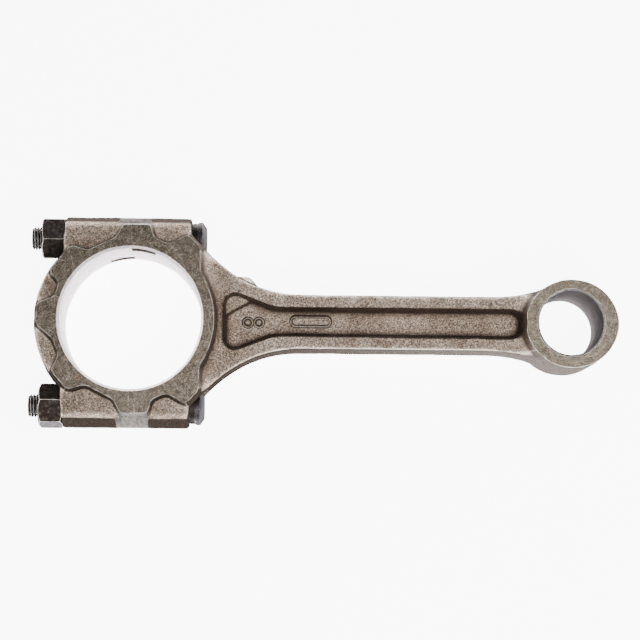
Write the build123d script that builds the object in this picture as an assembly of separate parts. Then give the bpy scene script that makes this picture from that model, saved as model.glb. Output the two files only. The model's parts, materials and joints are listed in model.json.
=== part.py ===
from build123d import *
import math
import os

# Connecting rod of a small engine, with its bearing cap, bolts and nuts, in millimetres.
# The origin is the middle of the crank bore. +Z runs along the bores, and +X runs along
# the rod to the piston-pin end. The joint between rod and cap is the plane x = 0.

# Bores and their distance
CENTRE_DISTANCE = 150.0
CRANK_BORE_R = 24.0
CRANK_BORE_CHAMFER = (1.1, 0.9)
PIN_BORE_R = 11.0
PIN_BORE_CHAMFER = (0.6, 0.6)

# Big end
BIG_END_WIDTH = 26.4
FACE_DRAFT = 12.0
FACE_DEPTH = 6.4
FACE_RING_R = 28.5
CAP_BACK_R = 33.5
CAP_BACK_SHIFT_Y = -0.3
CHEEK_WIDTH = 19.4
BODY_DRAFT = 4.0
TAB_Y = 32.2
RING_END_X = 23.5

# Bolt bosses
BOLT_Y = 29.0
BOSS_TOP_Y = 36.4
BOSS_CHEEK_Y = 33.4
BOSS_INNER_Y = 17.0
BOSS_EDGE_R = 2.5
BOSS_CREST_HALF = 2.0
HEAD_SEAT_X = 20.3
NUT_SEAT_X = -22.8
SEAT_CUTTER_R = 8.3
SEAT_CUTTER_LENGTH = 14.0

# Small end
SMALL_END_WIDTH = 29.0
SMALL_END_RX = 16.1
SMALL_END_RY = 15.35
SMALL_END_SHIFT = (0.3, -0.3)
SMALL_END_DRAFT = 1.0

# Shank
SHANK_HALF_HEIGHT = 9.95
SHANK_WIDTH = 16.0
SHANK_DRAFT = 4.0
WEB_THICKNESS = 5.0
POCKET_DRAFT = 12.0
POCKET_FLOOR_R = 1.5
POCKET_START_X = 30.6
POCKET_END_X = 134.2
POCKET_WIDE_Y = 9.9
POCKET_WIDE_X = 35.6
POCKET_NARROW_X = 48.6
POCKET_NARROW_Y = 5.05
POCKET_END_Y = 5.2
SHOULDER_Y = 29.9
SHOULDER_FOOT_X = 41.3
SHOULDER_R = 42.0
NECK_R = 57.0
NECK_SLOPE = 21.5

# Locating notches for the bearing shells
NOTCH_DEPTH = 1.2
NOTCH_CUTTER_R = 14.2
NOTCH_NEAR_Z = 6.5
NOTCH_FAR_Z = 12.2

# Oil jet
OIL_ANGLE = 29.0
OIL_MOUTH = (42.1, 14.1)
OIL_DRILL_R = 0.9
OIL_DRILL_LENGTH = 24.0
OIL_BUMP_WIDTH = 6.8
OIL_BUMP_R = 1.0
OIL_RIB_LENGTH = 12.0
OIL_RIB_HALF_WIDTH = 5.4
OIL_RIB_Z = 5.0

# Bolts and nuts, M8 x 1
THREAD_PITCH = 1.0
THREAD_R = 4.0
THREAD_ROOT_R = 3.4
THREAD_START_X = -17.5
BOLT_END_X = -34.8
PILOT_R = 4.25
PILOT_END_X = -10.0
PILOT_TAPER = 0.75
WAIST_R = 3.5
WAIST_TAPER = 0.5
RUNNING_GAP = 0.05
HEAD_R = 6.2
HEAD_HEIGHT = 5.1
HEAD_BASE_R = 5.8
HEAD_BASE_HEIGHT = 2.1
HEAD_EDGE = (1.2, 1.9)
HEAD_FLAT = 5.4
HEAD_ROOM = 2.6
NUT_ACROSS_FLATS = 13.6
NUT_HEIGHT = 8.4
NUT_CHAMFER_ANGLE = 30.0
NUT_FACE_SHARE = 0.95
UPPER_NUT_TURN = -9.0
LOWER_NUT_TURN = 11.5

BIG_HALF = BIG_END_WIDTH / 2
SMALL_HALF = SMALL_END_WIDTH / 2
BIG = 200.0
OVERLAP = 0.5


def both_ways(sketch, half_width, draft):
    """Extrude a mid-plane outline to both faces, narrowing by the forging draft."""
    front = extrude(sketch, amount=half_width, taper=draft)
    return front + mirror(front, Plane.XY)


def x_cylinder(radius, x0, x1, y):
    """A cylinder along X between two stations."""
    body = Rot(0, 90, 0) * Cylinder(radius, x1 - x0)
    return Pos((x0 + x1) / 2, y, 0) * body


def x_half_space(sign):
    """Everything on one side of the joint plane."""
    return Pos(sign * BIG / 2, 0, 0) * Box(BIG, BIG, BIG)


def closed_face(*edges):
    """A face inside a closed chain of edges."""
    return make_face(edges)


def rod_face_outline():
    """The machined face on the rod's half of the big end: tabs, waists, ears and ring."""
    ring_x = RING_END_X
    ring_y = math.sqrt(FACE_RING_R**2 - ring_x**2)
    corners = [
        (0, TAB_Y), (6.5, TAB_Y), (7.5, 27.7), (12.8, 25.2),
        (19.2, 29.0), (ring_x, 24.6), (ring_x, ring_y),
    ]
    radii = [1.3, 1.6, 3.0, 1.3, 1.3]
    upper = FilletPolyline(*corners, radius=radii)
    lower = upper.mirror(Plane.XZ)
    ring = ThreePointArc((ring_x, ring_y), (FACE_RING_R, 0), (ring_x, -ring_y))
    joint = Line((0, TAB_Y), (0, -TAB_Y))
    return closed_face(upper, ring, lower, joint)


def cap_face_outline():
    """The machined face on the cap: tabs, ears, two scallops and the middle lobe."""
    corners = [
        (0, TAB_Y), (-2.8, TAB_Y), (-5.0, 27.8), (-14.9, 22.9), (-20.4, 25.2),
        (-27.6, 15.6), (-24.0, 12.0), (-25.8, 7.1), (-31.8, 5.0),
        (-31.8, -2.2), (-26.0, -7.0), (-23.7, -12.6), (-26.4, -18.2),
        (-20.6, -24.6), (-14.6, -22.7), (-5.2, -27.6), (-2.6, -TAB_Y), (0, -TAB_Y),
    ]
    radii = [
        1.2, 2.0, 3.0, 2.5, 1.3, 2.2, 2.6, 2.2,
        1.2, 3.0, 3.0, 1.2, 2.5, 3.0, 2.0, 1.2,
    ]
    edge = FilletPolyline(*corners, radius=radii)
    joint = Line((0, TAB_Y), (0, -TAB_Y))
    return closed_face(edge, joint)


def raised_face(outline):
    """A machined face on both sides, with sloping flanks down into the forging."""
    top = extrude(Pos(0, 0, BIG_HALF) * outline, amount=-FACE_DEPTH, taper=-FACE_DRAFT)
    core = extrude(outline, amount=BIG_HALF - FACE_DEPTH + OVERLAP, both=True)
    return top + mirror(top, Plane.XY) + core


def neck_point(sign):
    """Where a flange meets the small end, and the corner of its two straight runs."""
    slope = math.radians(NECK_SLOPE)
    x = CENTRE_DISTANCE + SMALL_END_SHIFT[0] - SMALL_END_RX * math.sin(slope)
    y = SMALL_END_RY * math.cos(slope) + sign * SMALL_END_SHIFT[1]
    return x, y, x - (y - SHANK_HALF_HEIGHT) / math.tan(slope)


def shank_outline():
    """The rod seen along the bores: shoulders, straight flanges and the neck."""
    shoulder = (HEAD_SEAT_X, SHOULDER_Y)
    radii = [SHOULDER_R, NECK_R]
    sides = []
    for sign in (1, -1):
        neck_x, neck_y, corner_x = neck_point(sign)
        foot = (SHOULDER_FOOT_X, SHANK_HALF_HEIGHT)
        corners = [shoulder, foot, (corner_x, SHANK_HALF_HEIGHT), (neck_x, neck_y)]
        sides.append(FilletPolyline(*[(x, sign * y) for x, y in corners], radius=radii))
    crank_end = Line(sides[0] @ 0, sides[1] @ 0)
    pin_end = Line(sides[0] @ 1, sides[1] @ 1)
    return closed_face(*sides, crank_end, pin_end)


def small_end():
    """The eye at the pin end, forged slightly oval and a little off the bore."""
    eye = both_ways(Ellipse(SMALL_END_RX, SMALL_END_RY), SMALL_HALF, SMALL_END_DRAFT)
    return Pos(CENTRE_DISTANCE + SMALL_END_SHIFT[0], SMALL_END_SHIFT[1], 0) * eye


def pocket_outline():
    """The pocket between the flanges, wide at the big end and round at the pin end."""
    corners = [
        (POCKET_START_X, 0), (POCKET_START_X, POCKET_WIDE_Y), (POCKET_WIDE_X, POCKET_WIDE_Y),
        (POCKET_NARROW_X, POCKET_NARROW_Y), (POCKET_END_X, POCKET_END_Y), (POCKET_END_X, 0),
    ]
    upper = FilletPolyline(*corners, radius=[3.9, 4.0, 14.0, 4.2])
    return closed_face(upper, upper.mirror(Plane.XZ))


def pocket(side):
    """One drafted pocket with a rounded floor edge, cut into the front (1) or back (-1)."""
    top_z = SHANK_WIDTH / 2 + OVERLAP
    depth = top_z - WEB_THICKNESS / 2
    cut = extrude(Pos(0, 0, top_z) * pocket_outline(), amount=-depth, taper=POCKET_DRAFT)
    floor_edges = cut.edges().group_by(Axis.Z)[0]
    cut = fillet(floor_edges, POCKET_FLOOR_R)
    return cut if side > 0 else mirror(cut, Plane.XY)


def oil_axis():
    """The drilling from the mouth on the shoulder down to the crank bore, in the XY plane."""
    angle = math.radians(OIL_ANGLE)
    return Plane(
        origin=(OIL_MOUTH[0], OIL_MOUTH[1], 0),
        x_dir=(0, 0, 1),
        z_dir=(math.cos(angle), math.sin(angle), 0),
    )


def oil_bump():
    """The small boss on the shoulder around the mouth of the oil drilling."""
    foot_y = SHANK_HALF_HEIGHT - 1
    corners = [(33, foot_y), (36, 16.2), (40.6, 16.0), (43.8, 12.2), (44.5, foot_y)]
    section = make_face(Polyline(*corners, close=True))
    crown = section.vertices().filter_by_position(Axis.Y, 12, 17)
    return extrude(fillet(crown, OIL_BUMP_R), amount=OIL_BUMP_WIDTH / 2, both=True)


def oil_rib():
    """The raised corner of the front pocket that keeps wall around the drilling."""
    width = 2 * OIL_RIB_HALF_WIDTH
    height = OIL_RIB_Z
    rib = Box(height, width, OIL_RIB_LENGTH, align=(Align.MIN, Align.CENTER, Align.MAX))
    return oil_axis() * rib


def oil_drilling():
    """The oil drilling itself."""
    drill = Cylinder(OIL_DRILL_R, OIL_DRILL_LENGTH, align=(Align.CENTER, Align.CENTER, Align.MAX))
    return oil_axis() * Pos(0, 0, 1.0) * drill


def boss(x0, x1, sign):
    """A bolt boss: a bar along X whose outer side slopes back to the parting line at z = 0."""
    cheek = CHEEK_WIDTH / 2
    crest = BOSS_CREST_HALF
    corners = [
        (BOSS_INNER_Y, -cheek), (BOSS_CHEEK_Y, -cheek), (BOSS_TOP_Y, -crest),
        (BOSS_TOP_Y, crest), (BOSS_CHEEK_Y, cheek), (BOSS_INNER_Y, cheek),
    ]
    section = make_face(Polyline(*corners, close=True))
    outer = section.vertices().filter_by_position(Axis.X, BOSS_CHEEK_Y - 1, BIG)
    section = fillet(outer, BOSS_EDGE_R)
    plane = Plane(origin=(x0, 0, 0), x_dir=(0, sign, 0), z_dir=(1, 0, 0))
    return extrude(plane * section, amount=x1 - x0)


def bored(body, axis_x, radius, half_width, chamfer_size):
    """Cut a bore along Z with a chamfer at both faces, given as (radial, axial) size."""
    radial, axial = chamfer_size
    longer = 1 + OVERLAP
    cone = Cone(
        radius, radius + radial * longer, axial * longer,
        align=(Align.CENTER, Align.CENTER, Align.MAX),
    )
    front = Pos(0, 0, half_width + axial * OVERLAP) * cone
    cut = Cylinder(radius, BIG) + front + mirror(front, Plane.XY)
    return body - Pos(axis_x, 0, 0) * cut


def notch(z0, z1):
    """The cutter path of a locating notch at the upper joint of the crank bore."""
    centre_y = CRANK_BORE_R + NOTCH_DEPTH - NOTCH_CUTTER_R
    return Pos(0, centre_y, (z0 + z1) / 2) * Cylinder(NOTCH_CUTTER_R, z1 - z0)


def head_pocket(sign):
    """The counterbore in the shoulder where a bolt head sits, with a flat that stops it turning."""
    radius = HEAD_R + HEAD_ROOM
    bore = x_cylinder(radius, HEAD_SEAT_X, HEAD_SEAT_X + SEAT_CUTTER_LENGTH, sign * BOLT_Y)
    flat_y = BOLT_Y - HEAD_FLAT - RUNNING_GAP
    keep = Pos(HEAD_SEAT_X + SEAT_CUTTER_LENGTH / 2, sign * (flat_y + radius), 0)
    return bore & keep * Box(2 * SEAT_CUTTER_LENGTH, 2 * radius, 2 * radius)


def rod_forging():
    """The rod: small end, I-section shank and the upper half of the big end."""
    body = both_ways(shank_outline(), SHANK_WIDTH / 2, SHANK_DRAFT)
    body += raised_face(rod_face_outline())
    body += boss(0, HEAD_SEAT_X, 1) + boss(0, HEAD_SEAT_X, -1)
    body += small_end()
    body += oil_bump()
    body -= pocket(-1)
    body -= pocket(1) - oil_rib()
    body &= x_half_space(1)
    body = bored(body, 0, CRANK_BORE_R, BIG_HALF, CRANK_BORE_CHAMFER)
    body = bored(body, CENTRE_DISTANCE, PIN_BORE_R, SMALL_HALF, PIN_BORE_CHAMFER)
    for sign in (1, -1):
        body -= head_pocket(sign)
        body -= x_cylinder(PILOT_R, -1, HEAD_SEAT_X + 1, sign * BOLT_Y)
    body -= oil_drilling()
    body -= notch(NOTCH_NEAR_Z, NOTCH_FAR_Z)
    return body


def bearing_cap():
    """The cap: the lower half of the big end, with a seat for each nut."""
    back = Pos(0, CAP_BACK_SHIFT_Y) * Circle(CAP_BACK_R)
    body = both_ways(back, CHEEK_WIDTH / 2, BODY_DRAFT)
    body += raised_face(cap_face_outline())
    body += boss(NUT_SEAT_X, 0, 1) + boss(NUT_SEAT_X, 0, -1)
    body &= x_half_space(-1)
    body = bored(body, 0, CRANK_BORE_R, BIG_HALF, CRANK_BORE_CHAMFER)
    spot_end_x = NUT_SEAT_X - SEAT_CUTTER_LENGTH
    for sign in (1, -1):
        body -= x_cylinder(SEAT_CUTTER_R, spot_end_x, NUT_SEAT_X, sign * BOLT_Y)
        body -= x_cylinder(PILOT_R + RUNNING_GAP, NUT_SEAT_X - 1, 1, sign * BOLT_Y)
    body -= notch(-NOTCH_FAR_Z, -NOTCH_NEAR_Z)
    return body


def bolt_profile():
    """Half the long section of a bolt, as (station along X, radius) points."""
    edge_length, edge_depth = HEAD_EDGE
    head_end = HEAD_SEAT_X + HEAD_HEIGHT
    base_end = HEAD_SEAT_X + HEAD_BASE_HEIGHT
    points = [
        (head_end, 0), (head_end, HEAD_R - edge_depth), (head_end - edge_length, HEAD_R),
        (base_end, HEAD_R), (base_end, HEAD_BASE_R), (HEAD_SEAT_X, HEAD_BASE_R),
        (HEAD_SEAT_X, PILOT_R), (PILOT_END_X, PILOT_R), (PILOT_END_X - PILOT_TAPER, WAIST_R),
        (THREAD_START_X + WAIST_TAPER, WAIST_R), (THREAD_START_X, THREAD_R),
    ]
    point_x = BOLT_END_X + THREAD_R - THREAD_ROOT_R
    crest = THREAD_PITCH / 8
    flank = (THREAD_PITCH - 2 * crest) / 2
    station = THREAD_START_X - crest
    while station - THREAD_PITCH > point_x:
        points += [
            (station, THREAD_R), (station - flank, THREAD_ROOT_R),
            (station - flank - crest, THREAD_ROOT_R), (station - THREAD_PITCH + crest / 2, THREAD_R),
        ]
        station -= THREAD_PITCH
    points += [(point_x, THREAD_R), (BOLT_END_X, THREAD_ROOT_R), (BOLT_END_X, 0)]
    return points


def bolt(sign):
    """A rod bolt lying along X, head towards the small end."""
    section = make_face(Polyline(*bolt_profile(), close=True))
    body = revolve(section, Axis.X)
    flat = Box(HEAD_HEIGHT, HEAD_R, 2 * HEAD_R, align=(Align.MIN, Align.MAX, Align.CENTER))
    body -= Pos(HEAD_SEAT_X, -HEAD_FLAT, 0) * flat
    if sign < 0:
        body = mirror(body, Plane.XZ)
    return Pos(0, sign * BOLT_Y, 0) * body


def nut(sign, turn):
    """A hexagon nut on the cap, turned about the bolt by an angle in degrees."""
    inner_r = NUT_ACROSS_FLATS / 2
    corner_r = inner_r / math.cos(math.radians(30))
    body = extrude(RegularPolygon(corner_r, 6), amount=NUT_HEIGHT)
    face_r = inner_r * NUT_FACE_SHARE
    reach = corner_r + OVERLAP - face_r
    rise = reach * math.tan(math.radians(NUT_CHAMFER_ANGLE))
    section = Polyline(
        (0, 0), (face_r, 0), (face_r + reach, rise),
        (face_r + reach, NUT_HEIGHT - rise), (face_r, NUT_HEIGHT), (0, NUT_HEIGHT),
        close=True,
    )
    body &= revolve(make_face(Plane.XZ * section), Axis.Z)
    body -= Cylinder(THREAD_R + RUNNING_GAP, BIG)
    placed = Rot(0, -90, 0) * Rot(0, 0, turn) * body
    return Pos(NUT_SEAT_X, sign * BOLT_Y, 0) * placed


def main():
    os.makedirs("parts", exist_ok=True)
    nodes = {
        "rod_forging": rod_forging(),
        "bearing_cap": bearing_cap(),
        "bolt_upper": bolt(1),
        "bolt_lower": bolt(-1),
        "nut_upper": nut(1, UPPER_NUT_TURN),
        "nut_lower": nut(-1, LOWER_NUT_TURN),
    }
    for name, body in nodes.items():
        export_step(body, f"parts/{name}.step")


main()
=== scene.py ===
"""Looks of the connecting rod: forged skins, machined cuts, real threads, materials, light and camera.

Each forging is made the way the real one is. A rough blank is built from drafted solids, melted
together and smoothed, so that every inside corner gets its forging fillet. Then the machined
surfaces are cut into it, which leaves them flat and sharp-edged with their own material.
"""
import json
import math

import bmesh
import bpy
from mathutils import Matrix, Vector
from mathutils.bvhtree import BVHTree

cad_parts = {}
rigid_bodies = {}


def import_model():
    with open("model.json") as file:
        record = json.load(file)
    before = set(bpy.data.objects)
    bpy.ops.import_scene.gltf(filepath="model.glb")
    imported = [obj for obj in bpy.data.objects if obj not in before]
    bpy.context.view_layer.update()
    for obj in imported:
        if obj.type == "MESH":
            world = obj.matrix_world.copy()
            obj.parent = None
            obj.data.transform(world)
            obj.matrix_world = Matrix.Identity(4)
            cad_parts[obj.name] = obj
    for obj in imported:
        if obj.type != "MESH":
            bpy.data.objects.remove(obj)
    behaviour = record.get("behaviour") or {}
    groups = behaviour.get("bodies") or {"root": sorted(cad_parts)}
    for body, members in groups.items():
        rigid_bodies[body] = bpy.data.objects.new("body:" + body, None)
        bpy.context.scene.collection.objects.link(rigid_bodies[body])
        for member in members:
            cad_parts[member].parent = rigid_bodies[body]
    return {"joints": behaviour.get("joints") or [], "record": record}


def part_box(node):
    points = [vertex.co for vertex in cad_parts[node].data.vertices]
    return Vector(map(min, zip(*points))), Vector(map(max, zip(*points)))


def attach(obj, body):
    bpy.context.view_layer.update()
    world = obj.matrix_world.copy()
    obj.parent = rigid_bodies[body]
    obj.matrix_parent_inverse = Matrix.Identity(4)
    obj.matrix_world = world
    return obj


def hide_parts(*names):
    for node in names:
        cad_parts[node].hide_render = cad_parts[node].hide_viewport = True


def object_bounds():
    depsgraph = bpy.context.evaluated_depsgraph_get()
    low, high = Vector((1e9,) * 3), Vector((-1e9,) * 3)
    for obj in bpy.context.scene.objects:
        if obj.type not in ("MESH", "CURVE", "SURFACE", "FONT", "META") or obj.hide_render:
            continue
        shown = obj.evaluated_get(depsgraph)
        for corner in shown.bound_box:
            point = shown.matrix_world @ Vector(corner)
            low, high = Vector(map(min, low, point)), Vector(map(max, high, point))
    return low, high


for leftover in list(bpy.data.objects):
    bpy.data.objects.remove(leftover, do_unlink=True)

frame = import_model()
cad_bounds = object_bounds()

MM = 0.001


def mount(name):
    """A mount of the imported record, by name."""
    return next(m for m in frame["record"]["mounts"] if m["name"] == name)


def box_mm(node):
    """A CAD node's lowest and highest corners in millimetres."""
    low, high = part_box(node)
    return low / MM, high / MM


# Sizes in millimetres that the frame gives
CRANK_R = mount("crank_bore")["dims"]["r_mm"]
PIN_R = mount("pin_bore")["dims"]["r_mm"]
PIN_X = mount("pin_bore")["pos_m"][0] / MM
BIG_HALF = mount("big_end_front")["pos_m"][2] / MM
EYE_HALF = mount("eye_front")["pos_m"][2] / MM
BOLT_Y = frame["joints"][0]["pos_m"][1] / MM
BOSS_TOP = box_mm("rod_forging")[1].y
BOLT_END_X, HEAD_END_X = (corner.x for corner in box_mm("bolt_upper"))
NUT_END_X, NUT_SEAT_X = (corner.x for corner in box_mm("nut_upper"))

# The forgings: half thicknesses, radii, and distances from the axes, all in millimetres
CHEEK = 9.7
BOSS_CHEEK_Y = 33.4
BOSS_INNER_Y = 17.0
FACE_RING_R = 28.5
CAP_BACK_R = 33.5
CAP_BACK_SHIFT = -0.3
EYE_RX, EYE_RY = 16.1, 15.35
EYE_SHIFT = (0.3, -0.3)
SHANK_HALF = 8.0
SHANK_TOP = 9.95
WEB_HALF = 2.5
POCKET_FLOOR_R = 3.0
OIL_MOUTH = (42.1, 14.1, 0)
OIL_R = 0.9

# Fillets from the raised faces down to what they stand on
BIG_END_FILLET = 5.0
EYE_FILLET = 4.0
BOSS_FILLET = 1.8

# Forging draft, in degrees off the direction of the bores
SIDE_DRAFT = 4
EYE_DRAFT = 1
FACE_DRAFT = 12
POCKET_DRAFT = 12

# What the machining leaves. Chamfers are (radial, axial), the pad's depths (at its top, at its cheeks)
CRANK_CHAMFER = (0.8, 1.1)
PIN_CHAMFER = (0.6, 0.6)
ROD_HOLE_R = 4.25
CAP_HOLE_R = 4.3
SEAT_R = 8.3
PAD_DEPTH = (0.15, 0.25)
NOTCH_R = 14.2
NOTCH_DEPTH = 1.2

# Bolts and nuts. A head's flat is measured from its axis, and a nut's turn is in degrees by side
HEAD_SEAT_X = 20.3
HEAD_R = 6.2
HEAD_FLAT = 5.4
HEAD_FLAT_GAP = 0.05
HEAD_POCKET_GAP = 2.6
SHANK_R = 4.25
NECK_R = 3.5
THREAD_PITCH = 1.0
THREAD_R = 4.0
THREAD_ROOT_R = 3.4
THREAD_END_X = -17.5
NUT_ACROSS_FLATS = 13.6
NUT_BORE_R = 4.05
NUT_TURNS = {1: -9.0, -1: 11.5}

# How the skins are made: the grids they are melted on, and how far what is joined or cut runs on
ROD_VOXEL = 0.5
CAP_VOXEL = 0.42
OVER = 2.0
PAST_BOSS_Y = 45
FAR = 50


# ---------------------------------------------------------------- mesh helpers


def new_object(name, mesh):
    """An object for a mesh, linked into the scene."""
    obj = bpy.data.objects.new(name, mesh)
    bpy.context.scene.collection.objects.link(obj)
    return obj


def mesh_object(name, points, faces, materials=(), choice=None):
    """An object from points in millimetres and faces, with each face's choice of material."""
    mesh = bpy.data.meshes.new(name)
    mesh.from_pydata([Vector(p) * MM for p in points], [], faces)
    for material in materials:
        mesh.materials.append(material)
    if choice:
        mesh.polygons.foreach_set("material_index", choice)
    bm = bmesh.new()
    bm.from_mesh(mesh)
    bmesh.ops.recalc_face_normals(bm, faces=bm.faces)
    bm.to_mesh(mesh)
    bm.free()
    return new_object(name, mesh)


def settle(obj):
    """Make an object's modifiers part of its mesh."""
    graph = bpy.context.evaluated_depsgraph_get()
    mesh = bpy.data.meshes.new_from_object(obj.evaluated_get(graph))
    obj.modifiers.clear()
    old = obj.data
    obj.data = mesh
    bpy.data.meshes.remove(old)
    return obj


def remove(*objects):
    """Delete helper objects."""
    for obj in objects:
        bpy.data.objects.remove(obj, do_unlink=True)


def melt(name, parts, voxel):
    """Join closed solids into one closed skin."""
    bm = bmesh.new()
    for part in parts:
        bm.from_mesh(part.data)
    mesh = bpy.data.meshes.new(name)
    bm.to_mesh(mesh)
    bm.free()
    remove(*parts)
    obj = new_object(name, mesh)
    remesh = obj.modifiers.new("melt", "REMESH")
    remesh.mode = "VOXEL"
    remesh.voxel_size = voxel * MM
    return settle(obj)


def smooth(obj, rounds):
    """Relax a skin, which rounds its corners and fills its inside corners."""
    relax = obj.modifiers.new("relax", "SMOOTH")
    relax.factor = 0.5
    relax.iterations = rounds
    return settle(obj)


def roughen(obj, size, height):
    """Give a skin the shallow unevenness of a hammered die, from a seeded procedural noise."""
    noise = bpy.data.textures.new("unevenness", "CLOUDS")
    noise.noise_scale = size * MM
    noise.noise_depth = 2
    lift = obj.modifiers.new("unevenness", "DISPLACE")
    lift.texture = noise
    lift.texture_coords = "LOCAL"
    lift.strength = height * MM
    lift.mid_level = 0.5
    return settle(obj)


def cut(obj, cutter, operation="DIFFERENCE"):
    """Machine a skin with a cutter, whose material stays on the cut surface."""
    boolean = obj.modifiers.new("cut", "BOOLEAN")
    boolean.operation = operation
    boolean.solver = "MANIFOLD"
    boolean.object = cutter
    boolean.material_mode = "TRANSFER"
    settle(obj)
    remove(cutter)
    return obj


# ---------------------------------------------------------------- outlines and solids


def rounded(corners, radii, steps=6):
    """A closed outline whose corners are arcs of the given radii."""
    points = []
    count = len(corners)
    for i, corner in enumerate(corners):
        here = Vector(corner)
        before = (Vector(corners[i - 1]) - here).normalized()
        after = (Vector(corners[(i + 1) % count]) - here).normalized()
        half = before.angle(after) / 2
        radius = radii[i]
        if radius == 0:
            points.append(here)
            continue
        centre = here + (before + after).normalized() * (radius / math.sin(half))
        start = here + before * (radius / math.tan(half)) - centre
        end = here + after * (radius / math.tan(half)) - centre
        turn = start.angle_signed(end)
        for k in range(steps + 1):
            points.append(centre + Matrix.Rotation(-turn * k / steps, 2) @ start)
    return points


def grown(outline, distance):
    """An outline moved outwards by a distance, which is inwards where it is negative."""
    area = sum(a.cross(b) for a, b in zip(outline, outline[1:] + outline[:1]))
    sign = 1 if area > 0 else -1
    moved = []
    for before, here, after in zip(outline[-1:] + outline[:-1], outline, outline[1:] + outline[:1]):
        along = ((here - before).normalized() + (after - here).normalized()).normalized()
        moved.append(here + Vector((along.y, -along.x)) * distance * sign)
    return moved


def rectangle(x0, y0, x1, y1):
    """A rectangle's corners in order."""
    return [Vector(corner) for corner in ((x0, y0), (x1, y0), (x1, y1), (x0, y1))]


def bands(rings, count, first=0):
    """The faces between neighbouring rings of points, given the first point's number."""
    faces = []
    for low in range(first, first + (rings - 1) * count, count):
        high = low + count
        faces += [
            (low + i, low + (i + 1) % count, high + (i + 1) % count, high + i) for i in range(count)
        ]
    return faces


def capped(rings, count):
    """The faces of a closed solid through rings of points: its bottom, its bands and its top."""
    top = (rings - 1) * count
    return [tuple(range(count))[::-1], *bands(rings, count), tuple(range(top, top + count))]


def prism(name, outline, levels, material=None, place=None):
    """A solid through rings of one outline, given as (height, growth) from bottom to top."""
    points = []
    for height, growth in levels:
        ring = grown(outline, growth) if growth else outline
        points += [Vector((p.x, p.y, height)) for p in ring]
    if place:
        points = [place @ p for p in points]
    faces = capped(len(levels), len(outline))
    return mesh_object(name, points, faces, [material] if material else [])


def lathe(name, profile, steps, place, materials):
    """A solid turned about Z from (height, radius) points, with a material for each stretch."""
    points = []
    for height, radius in profile:
        for i in range(steps):
            angle = 2 * math.pi * i / steps
            points.append(place @ Vector((radius * math.cos(angle), radius * math.sin(angle), height)))
    kinds = list(dict.fromkeys(materials))
    stretches = [kinds.index(m) for m in materials for _ in range(steps)]
    choice = [stretches[0], *stretches, stretches[-1]]
    return mesh_object(name, points, capped(len(profile), steps), kinds, choice)


def block(name, low, high, material=None):
    """A box between two corners."""
    outline = rectangle(low[0], low[1], high[0], high[1])
    return prism(name, outline, [(low[2], 0), (high[2], 0)], material)


def arc(radius, start, end, steps, centre=(0, 0)):
    """Points on a circle between two angles in degrees."""
    x, y = centre
    angles = [math.radians(start + (end - start) * i / steps) for i in range(steps + 1)]
    return [Vector((x + radius * math.cos(a), y + radius * math.sin(a))) for a in angles]


def x_axis(y=0.0, side=1):
    """A place whose Z axis runs along the rod, with its own X axis pointing to one side."""
    turned = Matrix(((0, 0, 1, 0), (side, 0, 0, 0), (0, 1, 0, 0), (0, 0, 0, 1)))
    return Matrix.Translation((0, y, 0)) @ turned


def bore(name, radius, half, chamfer, x, steps, wall, edge):
    """A cutter for a bore along Z with a chamfer at both faces, given as (radial, axial) size."""
    radial, axial = chamfer
    low = half - axial
    profile = [
        (-half - axial, radius + 2 * radial), (-low, radius),
        (low, radius), (half + axial, radius + 2 * radial),
    ]
    return lathe(name, profile, steps, Matrix.Translation((x, 0, 0)), [edge, wall, edge])


def x_bar(name, outline, x0, x1, y=0.0, side=1, material=None):
    """A straight bar along the rod with the given section."""
    return prism(name, outline, [(x0, 0), (x1, 0)], material, x_axis(y, side))


def circle(radius, steps, centre=(0, 0)):
    """A full circle without its repeated last point."""
    return arc(radius, 0, 360, steps, centre)[:-1]


# ---------------------------------------------------------------- outlines of the forgings


def rod_face_outline():
    """The thrust face of the rod's half, running on past the joint."""
    ring_x = 23.5
    corners = [(-3, 32.2), (6.5, 32.2), (7.5, 27.7), (12.8, 25.2), (19.2, 29.0), (ring_x, 24.6)]
    radii = [0, 1.3, 1.6, 3.0, 1.3, 1.3]
    angle = math.degrees(math.acos(ring_x / FACE_RING_R))
    ring = [tuple(p) for p in arc(FACE_RING_R, angle, -angle, 40)]
    lower = [(x, -y) for x, y in reversed(corners)]
    return rounded(corners + ring + lower, radii + [0] * len(ring) + radii[::-1])


def cap_face_outline():
    """The thrust face of the cap: tabs, ears, two scallops and the middle lobe."""
    corners = [
        (3, 32.2), (-2.8, 32.2), (-5.0, 27.8), (-14.9, 22.9), (-20.4, 25.2),
        (-27.6, 15.6), (-24.0, 12.0), (-25.8, 7.1), (-31.8, 5.0),
        (-31.8, -2.2), (-26.0, -7.0), (-23.7, -12.6), (-26.4, -18.2),
        (-20.6, -24.6), (-14.6, -22.7), (-5.2, -27.6), (-2.6, -32.2), (3, -32.2),
    ]
    radii = [0, 1.2, 2.0, 3.0, 2.5, 1.3, 2.2, 2.6, 2.2, 1.2, 3.0, 3.0, 1.2, 2.5, 3.0, 2.0, 1.2, 0]
    return rounded(corners, radii)


def shank_outline():
    """The rod seen along the bores: shoulders, straight flanges and the neck at the eye."""
    slope = math.radians(21.5)
    neck_x = PIN_X + EYE_SHIFT[0] - EYE_RX * math.sin(slope)
    sides = []
    for side in (1, -1):
        neck_y = EYE_RY * math.cos(slope) + side * EYE_SHIFT[1]
        corner_x = neck_x - (neck_y - SHANK_TOP) / math.tan(slope)
        sides.append([(HEAD_SEAT_X, 29.9), (41.3, SHANK_TOP), (corner_x, SHANK_TOP), (neck_x, neck_y)])
    lower = [(x, -y) for x, y in reversed(sides[1])]
    return rounded(sides[0] + lower, [0, 42, 57, 0, 0, 57, 42, 0], 14)


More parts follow.
